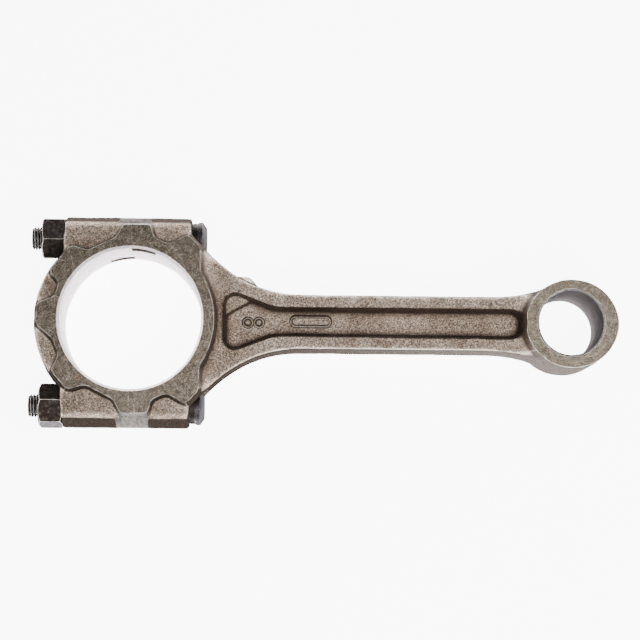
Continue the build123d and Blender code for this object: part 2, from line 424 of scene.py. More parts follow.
def pocket_outline():
    """The pocket between the flanges, wide at the big end and round at the pin end."""
    corners = [(31.4, 9.9), (36.2, 9.9), (48.9, 5.05), (134.2, 5.2)]
    lower = [(x, -y) for x, y in reversed(corners)]
    radii = [3.9, 4.0, 14.0, 4.2]
    return rounded(corners + lower, radii + radii[::-1], 8)


def boss_section():
    """A bolt boss across the rod: flat cheeks, and a side that slopes back to the parting line."""
    corners = [
        (BOSS_INNER_Y, -CHEEK), (BOSS_CHEEK_Y, -CHEEK), (BOSS_TOP, -2),
        (BOSS_TOP, 2), (BOSS_CHEEK_Y, CHEEK), (BOSS_INNER_Y, CHEEK),
    ]
    return rounded(corners, [0, 2.5, 2.5, 2.5, 2.5, 0])


def plateau(name, outline):
    """The raised thrust face on both sides, standing proud of its machined height."""
    slope = math.tan(math.radians(FACE_DRAFT))
    height = 6.4
    low, spread = BIG_HALF - height, height * slope
    top, shrink = BIG_HALF + OVER, -OVER * slope
    return prism(name, outline, [(-top, shrink), (-low, spread), (low, spread), (top, shrink)])


def foot(outline, radius, level, limit):
    """The hollow fillet from a raised face down to a lower level, kept inside a limiting solid."""
    crest = level + radius
    levels = [(0, radius)]
    for degrees in (90, 75, 60, 45, 30, 15, 0):
        angle = math.radians(degrees)
        levels.append((crest - radius * math.sin(angle), radius * (1 - math.cos(angle))))
    levels.append((crest + 0.8, -0.4))
    whole = [(-height, growth) for height, growth in levels[:0:-1]] + levels
    return cut(prism("foot", outline, whole), limit, "INTERSECT")


def upright_limit(outline, inset):
    """Where a fillet may stand on what has this outline."""
    return prism("limit", grown(outline, -inset), [(-20, 0), (20, 0)])


def boss_limit(x0, x1, side):
    """Where a fillet may stand on a bolt boss."""
    section = rectangle(BOSS_INNER_Y, -20, BOSS_CHEEK_Y - 0.4, 20)
    return x_bar("limit", section, x0, x1, side=side)


def oil_place():
    """The oil drilling's mouth on the shoulder, Z pointing out along the drilling, X to the front."""
    out = Vector((math.cos(math.radians(29)), math.sin(math.radians(29)), 0))
    front = Vector((0, 0, 1))
    turned = Matrix((front, out.cross(front), out)).transposed().to_4x4()
    return Matrix.Translation(OIL_MOUTH) @ turned


# ---------------------------------------------------------------- the forgings


def rod_blank():
    """The rod as forged: shank, big-end half, bosses, eye and oil boss, with both pockets."""
    lean = math.tan(math.radians(SIDE_DRAFT)) * SHANK_HALF
    eye_x, eye_y = PIN_X + EYE_SHIFT[0], EYE_SHIFT[1]
    eye_top = EYE_HALF + OVER
    eye_lean = math.tan(math.radians(EYE_DRAFT)) * eye_top
    eye_outline = [Vector((eye_x + EYE_RX * p.x, eye_y + EYE_RY * p.y)) for p in circle(1, 96)]
    bump = rounded([(33, 9), (36, 16.2), (40.6, 16.0), (43.8, 12.2), (44.5, 9)], [0, 1, 1, 1, 0])
    parts = [
        prism("shank", shank_outline(), [(-SHANK_HALF, -lean), (0, 0), (SHANK_HALF, -lean)]),
        prism("eye", eye_outline, [(-eye_top, -eye_lean), (0, 0), (eye_top, -eye_lean)]),
        plateau("face", rod_face_outline()),
        prism("oil_boss", bump, [(-3.4, 0), (3.4, 0)]),
        foot(rod_face_outline(), BIG_END_FILLET, SHANK_HALF, upright_limit(shank_outline(), 0.6)),
        foot(eye_outline, EYE_FILLET, SHANK_HALF, upright_limit(shank_outline(), 0.6)),
    ]
    for side in (1, -1):
        parts.append(foot(rod_face_outline(), BOSS_FILLET, CHEEK, boss_limit(-OVER, HEAD_SEAT_X, side)))
        parts.append(x_bar("boss", boss_section(), -OVER, HEAD_SEAT_X, side=side))
    blank = melt("rod_skin", parts, ROD_VOXEL)
    for side in (1, -1):
        cut(blank, pocket_cutter(side))
    return blank


def pocket_cutter(side):
    """One drafted pocket, the front one leaving the raised rib round the oil drilling."""
    top = SHANK_HALF + 0.5
    slope = math.tan(math.radians(POCKET_DRAFT))
    levels = []
    for degrees in (0, 22, 45, 68, 90):
        angle = math.radians(degrees)
        height = WEB_HALF + POCKET_FLOOR_R * (1 - math.cos(angle))
        growth = -slope * (top - height) - POCKET_FLOOR_R * (1 - math.sin(angle))
        levels.append((side * height, growth))
    cutter = prism("pocket", pocket_outline(), levels + [(side * top, 0), (side * (BIG_HALF + 2), 1.0)])
    if side > 0:
        cut(cutter, prism("rib", rectangle(0, -5.4, 5.0, 5.4), [(-15, 0), (3, 0)], None, oil_place()))
    return cutter


def cap_blank():
    """The cap as forged: half ring, scalloped thrust face and the two nut bosses."""
    lean = math.tan(math.radians(SIDE_DRAFT)) * CHEEK
    back = arc(CAP_BACK_R, 85, 275, 90, (0, CAP_BACK_SHIFT))
    boss_end = NUT_SEAT_X - 0.7
    parts = [
        prism("ring", back, [(-CHEEK, -lean), (0, 0), (CHEEK, -lean)]),
        plateau("face", cap_face_outline()),
        foot(cap_face_outline(), BOSS_FILLET, CHEEK, upright_limit(back, 0.9)),
    ]
    for side in (1, -1):
        parts.append(foot(cap_face_outline(), BOSS_FILLET, CHEEK, boss_limit(boss_end, OVER, side)))
        parts.append(x_bar("boss", boss_section(), boss_end, OVER, side=side))
    return melt("cap_skin", parts, CAP_VOXEL)


def finish_skin(blank, voxel, rounds):
    """Give a blank its forging radii and its slightly uneven, grainy skin."""
    melted = melt("skin", [blank], voxel)
    smooth(melted, rounds)
    roughen(melted, size=9.0, height=0.30)
    roughen(melted, size=1.6, height=0.10)
    return melted


def face_off(obj, z, x0, x1, material):
    """Machine both sides of an end flat at a height, from one place along the rod to another."""
    cut(obj, block("front", (x0, -FAR, z), (x1, FAR, z + 8), material))
    cut(obj, block("back", (x0, -FAR, -z - 8), (x1, FAR, -z), material))


def seat_side():
    """The outer part of a nut seat, which the cutter clears right out to the side of the boss."""
    return rectangle(BOLT_Y, -12, PAST_BOSS_Y, 12)


def side_flat():
    """What is milled off a boss across the joint, following the slope of its side."""
    top = BOSS_TOP - PAD_DEPTH[0]
    low = BOSS_CHEEK_Y - PAD_DEPTH[1]
    corners = [
        (low, -CHEEK), (top, -2), (top, 2), (low, CHEEK),
        (low - 1, 14), (PAST_BOSS_Y, 14), (PAST_BOSS_Y, -14), (low - 1, -14),
    ]
    return [Vector(p) for p in corners]


def tang_notch(z0, z1, material):
    """The cutter for a locating notch at the upper joint of the crank bore."""
    centre = (0, CRANK_R + NOTCH_DEPTH - NOTCH_R)
    return prism("notch", circle(NOTCH_R, 96, centre), [(z0, 0), (z1, 0)], material)


def head_pocket(side, material):
    """The cutter for a bolt head's counterbore, with the flat that stops the head turning."""
    radius = HEAD_R + HEAD_POCKET_GAP
    angle = math.degrees(math.acos(-(HEAD_FLAT + HEAD_FLAT_GAP) / radius))
    outline = arc(radius, -angle, angle, 64)
    return x_bar("head_pocket", outline, HEAD_SEAT_X, HEAD_SEAT_X + 14, side * BOLT_Y, side, material)


def pip(obj, x, y, z, radius, height, ringed=False):
    """A plain round pip standing on a forged surface, with or without a groove round it."""
    profile = [
        (-1.0, radius + 0.2), (0.0, radius + 0.1), (height * 0.6, radius * 0.85), (height, radius * 0.5)
    ]
    place = Matrix.Translation((x, y, z))
    if ringed:
        moat = [(-0.6, radius + 0.55), (0.2, radius + 1.0), (3.0, radius + 1.3)]
        cut(obj, lathe("moat", moat, 24, place, obj.data.materials[:1] * 2))
    cut(obj, lathe("pip", profile, 24, place, obj.data.materials[:1] * 3), "UNION")


def bar(obj, x0, x1, y, z, half_width, height):
    """A plain raised bar with round ends on a forged surface."""
    corners = rectangle(x0, y - half_width, x1, y + half_width)
    outline = rounded(corners, [half_width * 0.98] * 4, 6)
    moat = [(z - 0.6, 0.55), (z + 0.2, 1.0), (z + 3, 1.3)]
    cut(obj, prism("moat", outline, moat, obj.data.materials[0]))
    levels = [(z - 1, 0.1), (z, 0.05), (z + height, -0.25)]
    cut(obj, prism("bar", outline, levels, obj.data.materials[0]), "UNION")


def oval_punch(obj, x, y, z, long_r, short_r, width):
    """A plain oval groove punched into a forged surface."""
    points = []
    around, across = 48, 8
    for i in range(around):
        turn = 2 * math.pi * i / around
        for k in range(across):
            tilt = 2 * math.pi * k / across
            reach = width * math.cos(tilt)
            long, short = long_r + reach, short_r + reach
            spot = Vector((long * math.cos(turn), short * math.sin(turn), width * math.sin(tilt)))
            points.append(Vector((x, y, z)) + spot)
    faces = []
    for i in range(around):
        for k in range(across):
            a, b = i * across, (i + 1) % around * across
            c = (k + 1) % across
            faces.append((a + k, b + k, b + c, a + c))
    cut(obj, mesh_object("punch", points, faces, obj.data.materials[:1]))


def mark_outside(obj):
    """Store on each point whether it is on the outer silhouette: nothing above or below beside it."""
    clear = 3.2 * MM
    least_slope = 0.3
    mesh = obj.data
    tree = BVHTree.FromPolygons([v.co for v in mesh.vertices], [p.vertices for p in mesh.polygons])
    outside = []
    for vertex in mesh.vertices:
        level = Vector((vertex.normal.x, vertex.normal.y, 0))
        start = vertex.co + level.normalized() * clear
        covered = level.length <= least_slope or any(
            tree.ray_cast(start, Vector((0, 0, way)))[0] for way in (-1, 1)
        )
        outside.append(0.0 if covered else 1.0)
    layer = mesh.attributes.new("outside", "FLOAT", "POINT")
    layer.data.foreach_set("value", outside)


def drop_specks(obj):
    """Delete any speck that a cut has left beside a piece, which is one connected mesh."""
    bm = bmesh.new()
    bm.from_mesh(obj.data)
    waiting = set(bm.verts)
    islands = []
    while waiting:
        island = [waiting.pop()]
        for vertex in island:
            near = {edge.other_vert(vertex) for edge in vertex.link_edges} & waiting
            waiting -= near
            island += near
        islands.append(island)
    islands.sort(key=len)
    bmesh.ops.delete(bm, geom=[vertex for island in islands[:-1] for vertex in island])
    bm.to_mesh(obj.data)
    bm.free()


def make_rod(looks):
    """The finished rod: the forged skin with every machined surface cut into it."""
    rod = finish_skin(rod_blank(), ROD_VOXEL, 16)
    rod.data.materials.clear()
    rod.data.materials.append(looks["forged"])
    for x in (39.9, 43.7):
        pip(rod, x, 0.2, WEB_HALF, 1.25, 0.9, ringed=True)
    pip(rod, 131.8, 0.8, WEB_HALF, 1.5, 0.8)
    bar(rod, 55.0, 68.0, 0.7, WEB_HALF, 1.3, 0.8)
    face_off(rod, BIG_HALF, -10, 60, looks["ground"])
    face_off(rod, EYE_HALF, 100, 180, looks["ground"])
    cut(rod, block("joint", (-20, -FAR, -30), (0, FAR, 30), looks["joint"]))
    cut(rod, bore("crank", CRANK_R, BIG_HALF, CRANK_CHAMFER, 0, 256, looks["honed"], looks["edge"]))
    cut(rod, bore("pin", PIN_R, EYE_HALF, PIN_CHAMFER, PIN_X, 160, looks["reamed"], looks["edge"]))
    for side in (1, -1):
        cut(rod, head_pocket(side, looks["milled"]))
        hole = circle(ROD_HOLE_R, 64)
        cut(rod, x_bar("hole", hole, -2, HEAD_SEAT_X + 2, side * BOLT_Y, 1, looks["milled"]))
        cut(rod, x_bar("side_flat", side_flat(), -1, 6.4, 0, side, looks["pad"]))
    cut(rod, tang_notch(6.5, 12.2, looks["milled"]))
    cut(rod, prism("drill", circle(OIL_R, 32), [(-24, 0), (4, 0)], looks["milled"], oil_place()))
    mark_outside(rod)
    return rod


def make_cap(looks):
    """The finished cap: the forged skin with its machined surfaces, nut seats and a punched oval."""
    cap = finish_skin(cap_blank(), CAP_VOXEL, 18)
    cap.data.materials.clear()
    cap.data.materials.append(looks["forged"])
    oval_punch(cap, -14.0, 30.2, CHEEK + 0.1, 2.6, 1.3, 0.5)
    face_off(cap, BIG_HALF, -45, 10, looks["ground"])
    cut(cap, block("joint", (0, -FAR, -30), (20, FAR, 30), looks["joint"]))
    cut(cap, bore("crank", CRANK_R, BIG_HALF, CRANK_CHAMFER, 0, 256, looks["honed"], looks["edge"]))
    clear_x = NUT_SEAT_X - 14
    for side in (1, -1):
        bolt_y = side * BOLT_Y
        cut(cap, x_bar("seat", circle(SEAT_R, 96), clear_x, NUT_SEAT_X, bolt_y, 1, looks["milled"]))
        cut(cap, x_bar("seat_side", seat_side(), clear_x, NUT_SEAT_X, 0, side, looks["milled"]))
        cut(cap, x_bar("hole", circle(CAP_HOLE_R, 64), NUT_SEAT_X - 2, 2, bolt_y, 1, looks["milled"]))
        cut(cap, x_bar("side_flat", side_flat(), -4.6, 1, 0, side, looks["pad"]))
    cut(cap, tang_notch(-12.2, -6.5, looks["milled"]))
    mark_outside(cap)
    return cap


# ---------------------------------------------------------------- bolts and nuts


def thread_radius(x, angle):
    """The bolt's radius on its thread: flat crests and roots joined by straight flanks."""
    share = (x / THREAD_PITCH - angle / (2 * math.pi)) % 1.0
    climb = min(max((abs(share - 0.5) - 1 / 16) / (3 / 8), 0), 1)
    return THREAD_ROOT_R + (THREAD_R - THREAD_ROOT_R) * climb


def bolt_rings():
    """The bolt's stations along X between its two ends, each with a radius or None for thread."""
    point = [(BOLT_END_X, 2.6), (BOLT_END_X, THREAD_ROOT_R)]
    step = THREAD_PITCH / 16
    count = int((THREAD_END_X - BOLT_END_X) / step)
    thread = [(BOLT_END_X + step * (i + 1), None) for i in range(count)]
    neck = [(THREAD_END_X + 0.5, NECK_R), (-10.75, NECK_R), (-10.0, SHANK_R), (HEAD_SEAT_X, SHANK_R)]
    collar = [(0.0, 5.5), (0.3, 5.8), (2.0, 5.8), (2.15, HEAD_R - 0.15), (2.3, HEAD_R)]
    crown = [
        (1.5, HEAD_R), (1.35, HEAD_R - 0.1), (0.15, HEAD_R - 1.85), (0.0, HEAD_R - 2.1), (0.0, 2.0)
    ]
    head = [(HEAD_SEAT_X + x, r) for x, r in collar] + [(HEAD_END_X - x, r) for x, r in crown]
    return point + thread + neck + head


def make_bolt(side, material):
    """A bolt with a helical thread and a round head cut flat on its inner side."""
    steps = 64
    rings = bolt_rings()
    place = x_axis(side * BOLT_Y)
    points = [place @ Vector((0, 0, BOLT_END_X))]
    for x, radius in rings:
        for i in range(steps):
            angle = 2 * math.pi * i / steps
            r = radius
            if r is None:
                r = min(thread_radius(x, angle), THREAD_ROOT_R + x - BOLT_END_X)
            points.append(place @ Vector((r * math.cos(angle), r * math.sin(angle), x)))
    points.append(place @ Vector((0, 0, HEAD_END_X)))
    last = len(points) - 1
    top = last - steps
    faces = [(0, 1 + (i + 1) % steps, 1 + i) for i in range(steps)]
    faces += bands(len(rings), steps, 1)
    faces += [(top + i, top + (i + 1) % steps, last) for i in range(steps)]
    bolt = mesh_object("bolt", points, faces, [material])
    low_y, high_y = sorted((side * (BOLT_Y - HEAD_FLAT), side * (BOLT_Y - 10)))
    cut(bolt, block("flat", (HEAD_SEAT_X, low_y, -10), (HEAD_END_X + 2, high_y, 10), material))
    return bolt


def make_nut(side, turn, material):
    """A hexagon nut with chamfered corners at both faces and a countersunk bore."""
    flat = NUT_ACROSS_FLATS / 2
    corner = flat / math.cos(math.radians(30))
    face = flat * 0.95
    reach = corner + 0.5 - face
    rise = reach * math.tan(math.radians(30))
    hexagon = [
        Matrix.Rotation(math.radians(60 * i + 90 - turn), 2) @ Vector((corner, 0)) for i in range(6)
    ]
    place = x_axis(side * BOLT_Y)
    x0, x1 = NUT_END_X, NUT_SEAT_X
    nut = prism("nut", hexagon, [(x0, 0), (x1, 0)], material, place)
    cone = [(x0, face), (x0 + rise, face + reach), (x1 - rise, face + reach), (x1, face)]
    cut(nut, lathe("chamfer", cone, 96, place, [material] * 3), "INTERSECT")
    sink_r = NUT_BORE_R + 1.15
    hole = [(x0 - 0.5, sink_r), (x0 + 0.65, NUT_BORE_R), (x1 - 0.65, NUT_BORE_R), (x1 + 0.5, sink_r)]
    cut(nut, lathe("bore", hole, 96, place, [material] * 3))
    return nut


# ---------------------------------------------------------------- materials


class Nodes:
    """A material's node tree, with short ways to add and join nodes."""

    def __init__(self, name, **sockets):
        self.material = bpy.data.materials.new(name)
        self.material.use_nodes = True
        self.tree = self.material.node_tree
        self.shader = self.tree.nodes["Principled BSDF"]
        for socket, value in sockets.items():
            self.shader.inputs[socket.replace("_", " ")].default_value = value
        self.place = self.add("ShaderNodeTexCoord").outputs["Object"]

    def add(self, kind, **settings):
        """A node with its attributes set, or its inputs where the name is one."""
        node = self.tree.nodes.new(kind)
        for key, value in settings.items():
            label = key.replace("_", " ")
            if label in node.inputs:
                node.inputs[label].default_value = value
            else:
                setattr(node, key, value)
        return node

    def join(self, output, target):
        """Feed an output into an input."""
        self.tree.links.new(output, target)

    def stretched(self, scale):
        """The object's place, scaled along each axis."""
        mapping = self.add("ShaderNodeMapping")
        mapping.inputs["Scale"].default_value = scale
        self.join(self.place, mapping.inputs["Vector"])
        return mapping.outputs["Vector"]

    def noise(self, scale, detail=3.0, roughness=0.55, place=None):
        """A fractal noise, with its scale in features per metre."""
        node = self.add("ShaderNodeTexNoise", Scale=scale, Detail=detail, Roughness=roughness)
        self.join(place or self.place, node.inputs["Vector"])
        return node.outputs["Fac"]

    def scratches(self, scale, degrees):
        """Fine broken scratches in one direction, 1 where there is one."""
        turned = self.add("ShaderNodeMapping")
        turned.inputs["Rotation"].default_value = (0, 0, math.radians(degrees))
        self.join(self.place, turned.inputs["Vector"])
        drawn = self.add("ShaderNodeMapping")
        drawn.inputs["Scale"].default_value = (0.04, 1.0, 0.04)
        self.join(turned.outputs["Vector"], drawn.inputs["Vector"])
        line = self.noise(scale, 1, 0.5, drawn.outputs["Vector"])
        where = self.noise(240, 2)
        return self.times(self.span(line, 0.67, 0.75, 0.0, 0.55), self.span(where, 0.50, 0.62))

    def ramp(self, value, *stops):
        """A colour ramp with (position, colour) stops."""
        node = self.add("ShaderNodeValToRGB")
        elements = node.color_ramp.elements
        while len(elements) < len(stops):
            elements.new(0.5)
        for element, (position, colour) in zip(elements, stops):
            element.position = position
            element.color = (*colour, 1)
        self.join(value, node.inputs["Fac"])
        return node.outputs["Color"]

    def span(self, value, low, high, to_low=0.0, to_high=1.0):
        """A value carried from one range to another, held at its ends."""
        node = self.add("ShaderNodeMapRange")
        node.inputs["From Min"].default_value = low
        node.inputs["From Max"].default_value = high
        node.inputs["To Min"].default_value = to_low
        node.inputs["To Max"].default_value = to_high
        self.join(value, node.inputs["Value"])
        return node.outputs["Result"]

    def inverse(self, value):
        """1 where a value is 0 and 0 where it is 1."""
        return self.span(value, 0.0, 1.0, 1.0, 0.0)

    def patchy(self, least):
        """1 in patches, and down to the least value between them."""
        return self.span(self.noise(420, 3, 0.6), 0.34, 0.52, least)

    def mix(self, factor, low, high):
        """Two colours mixed by a factor. Each is an output or a plain colour."""
        node = self.add("ShaderNodeMix", data_type="RGBA")
        self.join(factor, node.inputs["Factor"])
        for value, name in ((low, "A"), (high, "B")):
            socket = next(s for s in node.inputs if s.name == name and s.type == "RGBA")
            if isinstance(value, tuple):
                socket.default_value = (*value, 1)
            else:
                self.join(value, socket)
        return next(s for s in node.outputs if s.type == "RGBA")

    def sum(self, first, second, share):
        """One value plus a share of another."""
        node = self.add("ShaderNodeMath", operation="MULTIPLY_ADD")
        self.join(second, node.inputs[0])
        node.inputs[1].default_value = share
        self.join(first, node.inputs[2])
        return node.outputs["Value"]

    def edges(self, radius):
        """How far a sharp edge within reach bends the surface, 0 on flat stretches."""
        bevel = self.add("ShaderNodeBevel", samples=6, Radius=radius * MM)
        geometry = self.add("ShaderNodeNewGeometry")
        dot = self.add("ShaderNodeVectorMath", operation="DOT_PRODUCT")
        self.join(bevel.outputs["Normal"], dot.inputs[0])
        self.join(geometry.outputs["Normal"], dot.inputs[1])
        return self.span(dot.outputs["Value"], 0.995, 0.90)

    def size(self, value):
        """A value without its sign."""
        node = self.add("ShaderNodeMath", operation="ABSOLUTE")
        self.join(value, node.inputs[0])
        return node.outputs["Value"]

    def facing(self, axis):
        """How far a surface faces along an axis of the piece, from -1 to 1."""
        coordinates = self.add("ShaderNodeTexCoord")
        parts = self.add("ShaderNodeSeparateXYZ")
        self.join(coordinates.outputs["Normal"], parts.inputs["Vector"])
        return parts.outputs[axis]

    def upward(self):
        """How far a surface faces straight up or down, 0 on a side and 1 on a face."""
        return self.size(self.facing("Z"))

    def outside(self):
        """1 on the outer silhouette and 0 elsewhere."""
        return self.add("ShaderNodeAttribute", attribute_name="outside").outputs["Fac"]

    def times(self, first, second):
        """Two values multiplied."""
        node = self.add("ShaderNodeMath", operation="MULTIPLY")
        self.join(first, node.inputs[0])
        self.join(second, node.inputs[1])
        return node.outputs["Value"]

    def at(self, axis):
        """A point's place along an axis, in metres from the middle of the crank bore."""
        parts = self.add("ShaderNodeSeparateXYZ")
        self.join(self.place, parts.inputs["Vector"])
        return parts.outputs[axis]

    def bolt_radius(self):
        """How far a point is from the middle of its bolt, in metres."""
        across = self.add("ShaderNodeMath", operation="SUBTRACT")
        self.join(self.size(self.at("Y")), across.inputs[0])
        across.inputs[1].default_value = BOLT_Y * MM
        pair = self.add("ShaderNodeCombineXYZ")
        self.join(across.outputs["Value"], pair.inputs["X"])
        self.join(self.at("Z"), pair.inputs["Y"])
        length = self.add("ShaderNodeVectorMath", operation="LENGTH")
        self.join(pair.outputs["Vector"], length.inputs[0])
        return length.outputs["Value"]

    def bump(self, height, distance, strength=1.0):
        """Relief from a height, in millimetres from its lowest to its highest."""
        node = self.add("ShaderNodeBump", Strength=strength, Distance=distance * MM)
        self.join(height, node.inputs["Height"])
        self.join(node.outputs["Normal"], self.shader.inputs["Normal"])

    def colour(self, output):
        """Set the base colour."""
        self.join(output, self.shader.inputs["Base Color"])

    def metallic(self, output):
        """Set where the surface is bare metal."""
        self.join(output, self.shader.inputs["Metallic"])

    def roughness(self, output):
        """Set the roughness."""
        self.join(output, self.shader.inputs["Roughness"])


def forged_look():
    """Shot-blasted forging: warm grey-brown grain, painted shade in the fillets, dull non-metal painted
    shade on its outer sides and pale edges from wear and a painted highlight.
    """
    n = Nodes("forged_steel", Specular_IOR_Level=0.0)
    grain = n.noise(2200, 3, 0.75)
    coarse = n.noise(700, 3, 0.6)
    patches = n.noise(110, 4, 0.6)
    up = n.upward()
    sideways = n.facing("Y")
    along = n.at("X")

    # The blasted skin, darker in patches and towards the big end, pale along its edges from wear and a
    # painted highlight
    pale = n.ramp(
        grain, (0.32, (0.115, 0.084, 0.064)), (0.50, (0.460, 0.358, 0.282)), (0.62, (1.0, 0.87, 0.76))
    )
    dark = n.ramp(
        grain, (0.33, (0.068, 0.046, 0.032)), (0.52, (0.245, 0.178, 0.131)), (0.68, (0.74, 0.58, 0.46))
    )
    big_end = n.span(along, 0.0, 0.045, 0.35, 0.0)
    skin = n.mix(n.sum(n.span(patches, 0.44, 0.64, 0.0, 0.6), big_end, 1.0), pale, dark)
    worn_and_highlit = n.mix(n.edges(0.5), skin, (0.62, 0.54, 0.46))

    # Painted shade in the fillets and on the pocket walls, blacker on the lower side of the big end
    slope = n.span(up, 0.55, 0.975, 1.0, 0.0)
    blacker = n.times(n.span(sideways, -0.05, -0.30), n.span(along, 0.030, 0.024))
    fillet_shade = n.mix(blacker, (0.060, 0.043, 0.033), (0.016, 0.011, 0.008))
    recess = n.mix(n.times(slope, n.inverse(n.outside())), worn_and_highlit, fillet_shade)

    # A painted highlight along the shank's lower outer edge
    # The painted highlight's mask: -Y-facing outer surfaces along the shank
    lower = n.times(n.span(sideways, -0.15, -0.35, 0.0, 0.55), n.span(along, 0.03, 0.045))
    rim_highlight = n.mix(n.times(lower, n.outside()), recess, (0.90, 0.78, 0.67))

    # Painted shade on the outer sides, which are not metal: darker where they face -Y, paler towards
    # the pin end
    side = n.times(n.span(up, 0.52, 0.80, 1.0, 0.0), n.outside())
    side_shade_low = n.ramp(grain, (0.36, (0.012, 0.009, 0.007)), (0.62, (0.042, 0.033, 0.027)))
    side_shade_high = n.ramp(grain, (0.36, (0.036, 0.028, 0.023)), (0.62, (0.105, 0.086, 0.073)))
    side_shade_pin_end = n.ramp(grain, (0.36, (0.044, 0.036, 0.032)), (0.62, (0.158, 0.136, 0.126)))
    side_shade_big_end = n.mix(n.span(sideways, -0.2, 0.2), side_shade_low, side_shade_high)
    # scale is the painted shade of the outer sides
    scale = n.mix(n.span(along, 0.03, 0.135), side_shade_big_end, side_shade_pin_end)

    n.colour(n.mix(side, rim_highlight, scale))
    n.metallic(n.inverse(side))
    n.roughness(n.span(grain, 0.3, 0.7, 0.50, 0.30))
    n.bump(n.sum(grain, coarse, 1.2), 0.62)
    return n.material


def ground_look():
    """Machined thrust faces: dull olive brown, finely mottled, with scratches and a little rust."""
    n = Nodes("ground_face", Metallic=1.0)
    mottle = n.noise(520, 5, 0.72)
    fine = n.noise(3600, 3, 0.75)
    marked = n.ramp(
        n.sum(n.span(mottle, 0.0, 1.0, 0.0, 0.22), fine, 0.78),
        (0.40, (0.028, 0.022, 0.017)), (0.50, (0.066, 0.054, 0.041)), (0.61, (0.25, 0.215, 0.175)),
    )
    rust = n.span(n.noise(95, 3, 0.6), 0.68, 0.76, 0.0, 0.6)
    marked = n.mix(rust, marked, (0.26, 0.10, 0.03))
    for degrees in (25, 78, 140):
        marked = n.mix(n.scratches(2600, degrees), marked, (0.40, 0.36, 0.31))

    # Edges are bright in places from wear and a painted highlight, but not along the joint
    broken = n.span(n.noise(300, 3, 0.6), 0.40, 0.56, 0.15)
    off_joint = n.span(n.size(n.at("X")), 0.5 * MM, 0.9 * MM, 0.12)
    worn_and_highlit = n.times(n.times(n.edges(0.34), broken), off_joint)
    n.colour(n.mix(worn_and_highlit, marked, (0.90, 0.85, 0.77)))
    n.roughness(n.span(fine, 0.3, 0.7, 0.40, 0.24))
    n.bump(n.sum(fine, mottle, 0.8), 0.08)
    return n.material


def cut_look(name, colour, dark, rough, squeezed, metal):
    """A cut surface with fine tool marks, which run the way the noise is squeezed."""
    n = Nodes(name, Metallic=metal, Specular_IOR_Level=0.0)
    marks = n.noise(900, 3, 0.6, n.stretched(squeezed))
    cloud = n.noise(180, 3, 0.6)
    n.colour(n.ramp(n.sum(marks, cloud, 0.6), (0.50, dark), (0.95, colour)))
    n.roughness(n.span(cloud, 0.3, 0.7, rough - 0.06, rough + 0.06))
    n.bump(marks, 0.012, 0.7)
    return n.material


def oxide(name, rough):
    """The start of a black-oxide material, with its cloudy noise, roughness and fine relief."""
    n = Nodes(name, Specular_IOR_Level=0.0)
    cloud = n.noise(900, 4, 0.65)
    n.roughness(n.span(cloud, 0.3, 0.7, *rough))
    n.bump(n.noise(1400, 3, 0.6), 0.03, 0.7)
    return n, cloud


def rubbed_and_highlit(n, edge, side, top, flank, bright):
    """Finish a black-oxide material: its top and its flanks, with bright metal on its edges from wear
    and a painted highlight.
    """
    n.colour(n.mix(edge, n.mix(side, top, flank), bright))
    n.metallic(n.inverse(n.sum(side, edge, -0.6)))
    return n.material


def nut_look():
    """A black-oxide nut, bright along its corners from wear and a painted highlight, with painted light
    and shade on its flats and a painted reflection on its outermost flat.
    """
    n, cloud = oxide("black_oxide_nut", (0.30, 0.44))
    # Painted light and shade: upper is the lit copy for flats that face +Y, lower the shaded copy for
    # flats that face -Y
    upper = n.ramp(
        cloud,
        (0.36, (0.046, 0.037, 0.034)), (0.56, (0.080, 0.066, 0.061)), (0.74, (0.21, 0.18, 0.17)),
    )
    lower = n.ramp(
        cloud,
        (0.36, (0.012, 0.009, 0.008)), (0.56, (0.026, 0.020, 0.017)), (0.74, (0.10, 0.085, 0.075)),
    )
    sideways = n.facing("Y")
    top = n.mix(n.span(sideways, -0.30, 0.25, 1.0, 0.0), upper, lower)
    side = n.span(n.upward(), 0.79, 0.92, 1.0, 0.0)
    # Painted shade on the flanks, and a painted reflection in bright on the flats that face straight
    # along Y
    shade = n.ramp(cloud, (0.36, (0.009, 0.007, 0.006)), (0.70, (0.034, 0.029, 0.025)))
    bright = n.ramp(cloud, (0.34, (0.045, 0.041, 0.042)), (0.62, (0.150, 0.138, 0.142)))
    flank = n.mix(n.span(n.size(sideways), 0.93, 0.97), shade, bright)
    edge = n.times(n.edges(0.42), n.patchy(0.3))
    return rubbed_and_highlit(n, edge, side, top, flank, (0.88, 0.81, 0.75))


